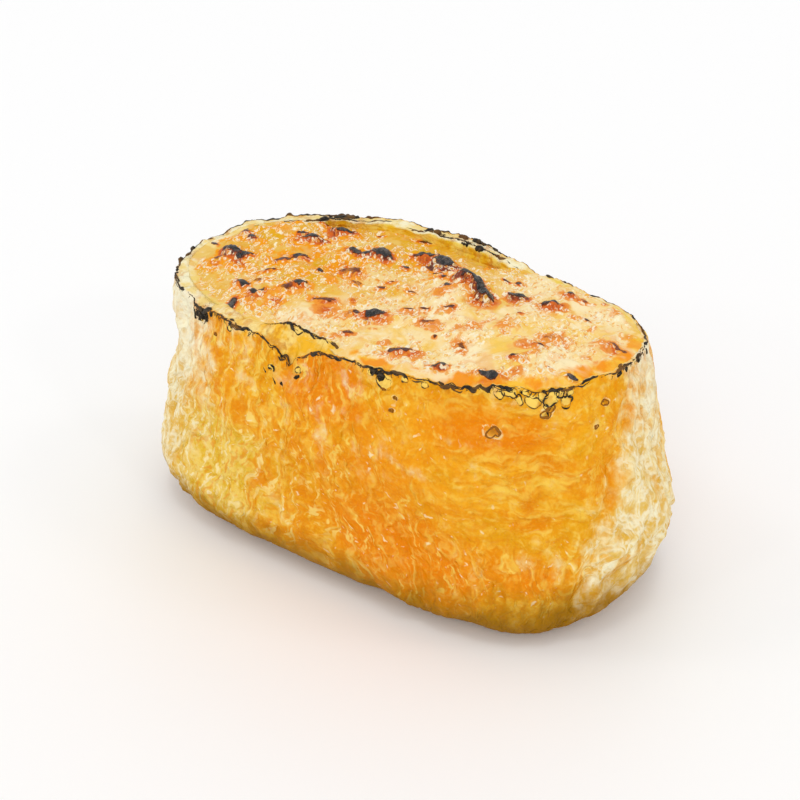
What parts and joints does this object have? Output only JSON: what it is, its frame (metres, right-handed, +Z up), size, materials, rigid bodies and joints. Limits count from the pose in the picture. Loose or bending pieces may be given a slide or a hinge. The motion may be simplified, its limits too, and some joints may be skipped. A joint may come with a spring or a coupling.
{
  "type": "inari sushi",
  "caption": "Torched inari sushi: a soft fried tofu pouch with a charred edge, open at the top and filled up to a browned, blistered cream surface.",
  "frame": {"origin": "middle of the object's box, on the flat underside of the pouch", "axes": "+X along the pouch, +Y across it, +Z up out of its opening"},
  "size_m": [0.0652, 0.035, 0.0318],
  "materials": {
    "fried_tofu": "moist, oily fried tofu skin, translucent amber with paler pleats, charred black along its edge",
    "browned_cream": "glossy pale cream full of small bubbles, torched orange-brown with black blisters"
  },
  "bodies": {
    "root": {"pouch": "fried_tofu", "filling": "browned_cream"}
  },
  "joints": []
}
